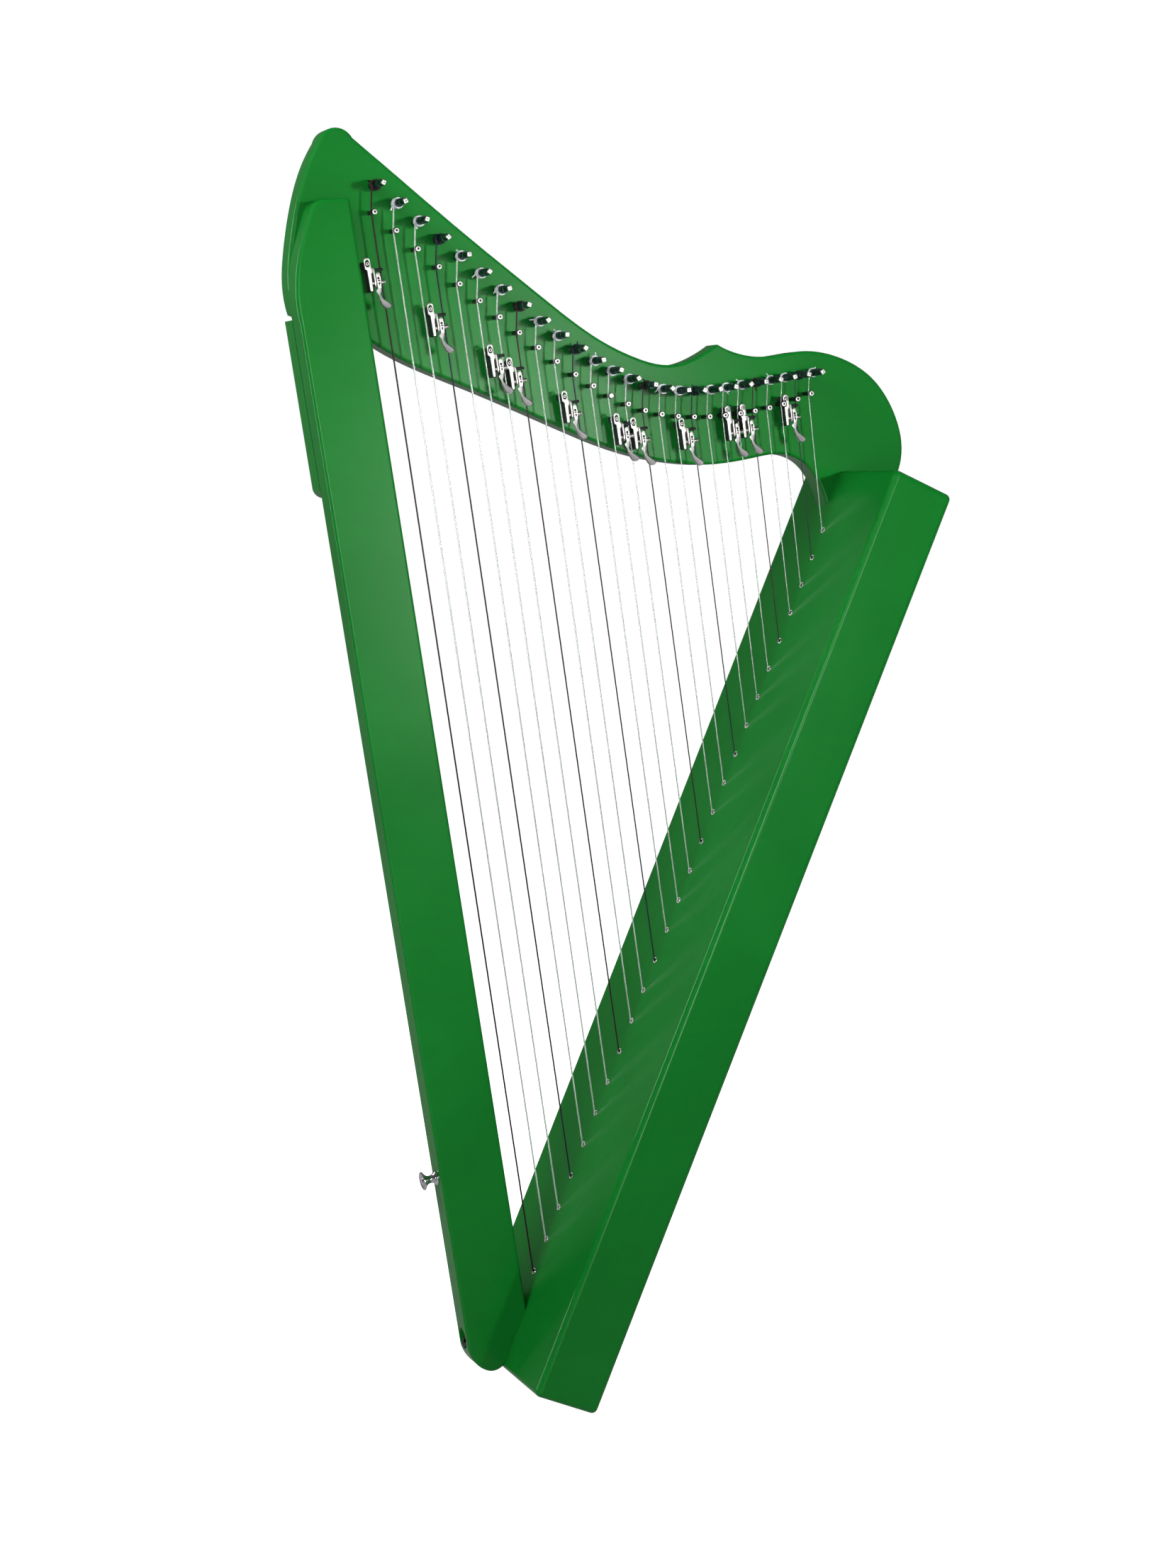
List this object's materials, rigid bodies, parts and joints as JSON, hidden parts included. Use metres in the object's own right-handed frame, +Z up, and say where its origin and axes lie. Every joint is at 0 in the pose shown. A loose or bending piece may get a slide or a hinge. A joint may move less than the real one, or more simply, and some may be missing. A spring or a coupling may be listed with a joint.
{
  "type": "lap lever harp",
  "caption": "Small triangular lap harp: painted board frame and box, coloured nylon strings, tuning pins that turn and sharpening levers that flip.",
  "frame": {"origin": "on the lower end face of the soundbox, half way through its depth, in the plane of the strings", "axes": "+Z up as the harp is pictured, +X from the pillar towards the soundbox, +Y away from the viewer; the strings lie in the plane y = 0"},
  "size_m": [0.4535, 0.136, 0.8546],
  "materials": {
    "green_wood": "satin green paint over wood",
    "bare_wood": "plain wood",
    "pin_steel": "dark blued steel, bright square end",
    "nickel": "nickel plated, satin",
    "chrome": "polished",
    "blued_steel": "black oxide",
    "brass": "turned",
    "black_plastic": "satin",
    "nylon_clear": "translucent nylon",
    "nylon_red": "dyed nylon",
    "nylon_black": "dyed nylon"
  },
  "bodies": {
    "harp": {"neck": "green_wood", "pillar": "green_wood", "pillar_backer": "green_wood", "pillar_bolt": "blued_steel", "soundboard": "green_wood", "string_rib": "bare_wood", "side_near": "green_wood", "side_far": "green_wood", "back_panel": "green_wood", "top_block": "green_wood", "bottom_block": "green_wood", "stand_insert": "brass", "strap_buttons": "chrome", "bridge_pins": "nickel", "soundboard_eyelets": "nickel", "string_knots": "nylon_clear", "strings_red": "nylon_red", "strings_black": "nylon_black", "strings_clear": "nylon_clear", "lever_bases": "black_plastic", "lever_plates": "nickel", "lever_screws": "nickel"},
    "pin_01": {"tuning_pin_01": "pin_steel"},
    "pin_02": {"tuning_pin_02": "pin_steel"},
    "pin_03": {"tuning_pin_03": "pin_steel"},
    "pin_04": {"tuning_pin_04": "pin_steel"},
    "pin_05": {"tuning_pin_05": "pin_steel"},
    "pin_06": {"tuning_pin_06": "pin_steel"},
    "pin_07": {"tuning_pin_07": "pin_steel"},
    "pin_08": {"tuning_pin_08": "pin_steel"},
    "pin_09": {"tuning_pin_09": "pin_steel"},
    "pin_10": {"tuning_pin_10": "pin_steel"},
    "pin_11": {"tuning_pin_11": "pin_steel"},
    "pin_12": {"tuning_pin_12": "pin_steel"},
    "pin_13": {"tuning_pin_13": "pin_steel"},
    "pin_14": {"tuning_pin_14": "pin_steel"},
    "pin_15": {"tuning_pin_15": "pin_steel"},
    "pin_16": {"tuning_pin_16": "pin_steel"},
    "pin_17": {"tuning_pin_17": "pin_steel"},
    "pin_18": {"tuning_pin_18": "pin_steel"},
    "pin_19": {"tuning_pin_19": "pin_steel"},
    "pin_20": {"tuning_pin_20": "pin_steel"},
    "pin_21": {"tuning_pin_21": "pin_steel"},
    "pin_22": {"tuning_pin_22": "pin_steel"},
    "pin_23": {"tuning_pin_23": "pin_steel"},
    "pin_24": {"tuning_pin_24": "pin_steel"},
    "pin_25": {"tuning_pin_25": "pin_steel"},
    "pin_26": {"tuning_pin_26": "pin_steel"},
    "lever_01": {"lever_handle_01": "nickel"},
    "lever_02": {"lever_handle_02": "nickel"},
    "lever_03": {"lever_handle_03": "nickel"},
    "lever_04": {"lever_handle_04": "nickel"},
    "lever_05": {"lever_handle_05": "nickel"},
    "lever_06": {"lever_handle_06": "nickel"},
    "lever_07": {"lever_handle_07": "nickel"},
    "lever_08": {"lever_handle_08": "nickel"},
    "lever_09": {"lever_handle_09": "nickel"},
    "lever_10": {"lever_handle_10": "nickel"},
    "lever_11": {"lever_handle_11": "nickel"}
  },
  "joints": [
    {"name": "pin_turn_01", "type": "hinge", "parent": "harp", "child": "pin_01", "pos_m": [-0.1032, 0, 0.8099], "axis": [0, -1, 0], "range_deg": [-90, 90]},
    {"name": "pin_turn_02", "type": "hinge", "parent": "harp", "child": "pin_02", "pos_m": [-0.0883, 0, 0.79872], "axis": [0, -1, 0], "range_deg": [-90, 90]},
    {"name": "pin_turn_03", "type": "hinge", "parent": "harp", "child": "pin_03", "pos_m": [-0.07358, 0, 0.78766], "axis": [0, -1, 0], "range_deg": [-90, 90]},
    {"name": "pin_turn_04", "type": "hinge", "parent": "harp", "child": "pin_04", "pos_m": [-0.05904, 0, 0.77676], "axis": [0, -1, 0], "range_deg": [-90, 90]},
    {"name": "pin_turn_05", "type": "hinge", "parent": "harp", "child": "pin_05", "pos_m": [-0.04467, 0, 0.76603], "axis": [0, -1, 0], "range_deg": [-90, 90]},
    {"name": "pin_turn_06", "type": "hinge", "parent": "harp", "child": "pin_06", "pos_m": [-0.03049, 0, 0.75537], "axis": [0, -1, 0], "range_deg": [-90, 90]},
    {"name": "pin_turn_07", "type": "hinge", "parent": "harp", "child": "pin_07", "pos_m": [-0.01648, 0, 0.74482], "axis": [0, -1, 0], "range_deg": [-90, 90]},
    {"name": "pin_turn_08", "type": "hinge", "parent": "harp", "child": "pin_08", "pos_m": [-0.00266, 0, 0.73457], "axis": [0, -1, 0], "range_deg": [-90, 90]},
    {"name": "pin_turn_09", "type": "hinge", "parent": "harp", "child": "pin_09", "pos_m": [0.01099, 0, 0.72482], "axis": [0, -1, 0], "range_deg": [-90, 90]},
    {"name": "pin_turn_10", "type": "hinge", "parent": "harp", "child": "pin_10", "pos_m": [0.02446, 0, 0.71557], "axis": [0, -1, 0], "range_deg": [-90, 90]},
    {"name": "pin_turn_11", "type": "hinge", "parent": "harp", "child": "pin_11", "pos_m": [0.03775, 0, 0.70697], "axis": [0, -1, 0], "range_deg": [-90, 90]},
    {"name": "pin_turn_12", "type": "hinge", "parent": "harp", "child": "pin_12", "pos_m": [0.05085, 0, 0.6994], "axis": [0, -1, 0], "range_deg": [-90, 90]},
    {"name": "pin_turn_13", "type": "hinge", "parent": "harp", "child": "pin_13", "pos_m": [0.06379, 0, 0.69294], "axis": [0, -1, 0], "range_deg": [-90, 90]},
    {"name": "pin_turn_14", "type": "hinge", "parent": "harp", "child": "pin_14", "pos_m": [0.07654, 0, 0.68755], "axis": [0, -1, 0], "range_deg": [-90, 90]},
    {"name": "pin_turn_15", "type": "hinge", "parent": "harp", "child": "pin_15", "pos_m": [0.08911, 0, 0.68355], "axis": [0, -1, 0], "range_deg": [-90, 90]},
    {"name": "pin_turn_16", "type": "hinge", "parent": "harp", "child": "pin_16", "pos_m": [0.1015, 0, 0.68117], "axis": [0, -1, 0], "range_deg": [-90, 90]},
    {"name": "pin_turn_17", "type": "hinge", "parent": "harp", "child": "pin_17", "pos_m": [0.11372, 0, 0.68022], "axis": [0, -1, 0], "range_deg": [-90, 90]},
    {"name": "pin_turn_18", "type": "hinge", "parent": "harp", "child": "pin_18", "pos_m": [0.12576, 0, 0.6803], "axis": [0, -1, 0], "range_deg": [-90, 90]},
    {"name": "pin_turn_19", "type": "hinge", "parent": "harp", "child": "pin_19", "pos_m": [0.13761, 0, 0.68126], "axis": [0, -1, 0], "range_deg": [-90, 90]},
    {"name": "pin_turn_20", "type": "hinge", "parent": "harp", "child": "pin_20", "pos_m": [0.14929, 0, 0.68291], "axis": [0, -1, 0], "range_deg": [-90, 90]},
    {"name": "pin_turn_21", "type": "hinge", "parent": "harp", "child": "pin_21", "pos_m": [0.16079, 0, 0.68485], "axis": [0, -1, 0], "range_deg": [-90, 90]},
    {"name": "pin_turn_22", "type": "hinge", "parent": "harp", "child": "pin_22", "pos_m": [0.17211, 0, 0.68671], "axis": [0, -1, 0], "range_deg": [-90, 90]},
    {"name": "pin_turn_23", "type": "hinge", "parent": "harp", "child": "pin_23", "pos_m": [0.18325, 0, 0.68851], "axis": [0, -1, 0], "range_deg": [-90, 90]},
    {"name": "pin_turn_24", "type": "hinge", "parent": "harp", "child": "pin_24", "pos_m": [0.19421, 0, 0.69037], "axis": [0, -1, 0], "range_deg": [-90, 90]},
    {"name": "pin_turn_25", "type": "hinge", "parent": "harp", "child": "pin_25", "pos_m": [0.205, 0, 0.69225], "axis": [0, -1, 0], "range_deg": [-90, 90]},
    {"name": "pin_turn_26", "type": "hinge", "parent": "harp", "child": "pin_26", "pos_m": [0.2156, 0, 0.69409], "axis": [0, -1, 0], "range_deg": [-90, 90]},
    {"name": "lever_flip_01", "type": "hinge", "parent": "harp", "child": "lever_01", "pos_m": [-0.10005, -0.0027, 0.74732], "axis": [-0.9884, 0, -0.1516], "range_deg": [0, 90]},
    {"name": "lever_flip_02", "type": "hinge", "parent": "harp", "child": "lever_02", "pos_m": [-0.05683, -0.0027, 0.71943], "axis": [-0.9887, 0, -0.1499], "range_deg": [0, 90]},
    {"name": "lever_flip_03", "type": "hinge", "parent": "harp", "child": "lever_03", "pos_m": [-0.01514, -0.0027, 0.6935], "axis": [-0.9889, 0, -0.1489], "range_deg": [0, 90]},
    {"name": "lever_flip_04", "type": "hinge", "parent": "harp", "child": "lever_04", "pos_m": [-0.00159, -0.0027, 0.68539], "axis": [-0.9889, 0, -0.1487], "range_deg": [0, 90]},
    {"name": "lever_flip_05", "type": "hinge", "parent": "harp", "child": "lever_05", "pos_m": [0.03804, -0.0027, 0.66377], "axis": [-0.9889, 0, -0.1487], "range_deg": [0, 90]},
    {"name": "lever_flip_06", "type": "hinge", "parent": "harp", "child": "lever_06", "pos_m": [0.07613, -0.0027, 0.64922], "axis": [-0.9889, 0, -0.1484], "range_deg": [0, 90]},
    {"name": "lever_flip_07", "type": "hinge", "parent": "harp", "child": "lever_07", "pos_m": [0.08848, -0.0027, 0.64655], "axis": [-0.989, 0, -0.1479], "range_deg": [0, 90]},
    {"name": "lever_flip_08", "type": "hinge", "parent": "harp", "child": "lever_08", "pos_m": [0.12451, -0.0027, 0.64637], "axis": [-0.9897, 0, -0.1434], "range_deg": [0, 90]},
    {"name": "lever_flip_09", "type": "hinge", "parent": "harp", "child": "lever_09", "pos_m": [0.15899, -0.0027, 0.65254], "axis": [-0.9907, 0, -0.136], "range_deg": [0, 90]},
    {"name": "lever_flip_10", "type": "hinge", "parent": "harp", "child": "lever_10", "pos_m": [0.17025, -0.0027, 0.65464], "axis": [-0.9911, 0, -0.1331], "range_deg": [0, 90]},
    {"name": "lever_flip_11", "type": "hinge", "parent": "harp", "child": "lever_11", "pos_m": [0.20302, -0.0027, 0.66315], "axis": [-0.9926, 0, -0.1216], "range_deg": [0, 90]}
  ]
}
